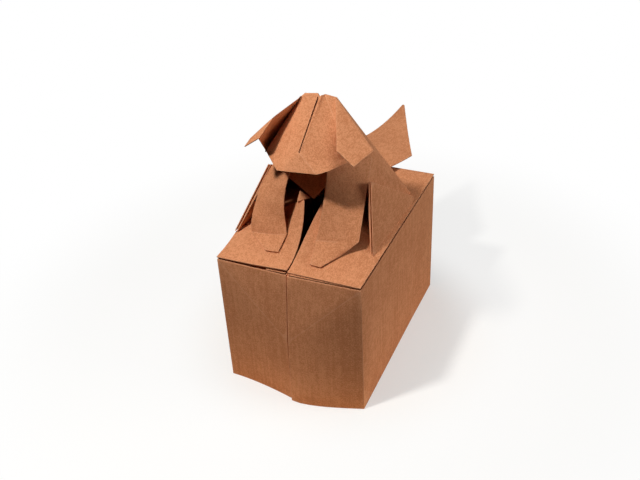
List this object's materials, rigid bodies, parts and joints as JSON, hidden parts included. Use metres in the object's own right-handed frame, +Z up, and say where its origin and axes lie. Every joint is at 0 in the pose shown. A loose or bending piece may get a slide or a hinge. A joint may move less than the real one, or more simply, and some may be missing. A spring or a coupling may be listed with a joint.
{
  "type": "origami dog",
  "caption": "Dog folded from one sheet of brown kraft paper, sitting on the folded box that is its base, with floppy ears, pleated face, front legs with paws and a leaf-shaped tail.",
  "frame": {"origin": "on the floor, under the middle of the box: half its width from either side and half its depth from its front and rear walls", "axes": "+Z up, +Y to the rear, where the tail points, and +X to the viewer's right when the dog faces the viewer"},
  "size_m": [0.0612, 0.142, 0.1185],
  "materials": {
    "kraft_paper": "uncoated brown kraft paper, matt, with a fine fibre grain"
  },
  "bodies": {
    "root": {"origami_dog": "kraft_paper"}
  },
  "joints": []
}
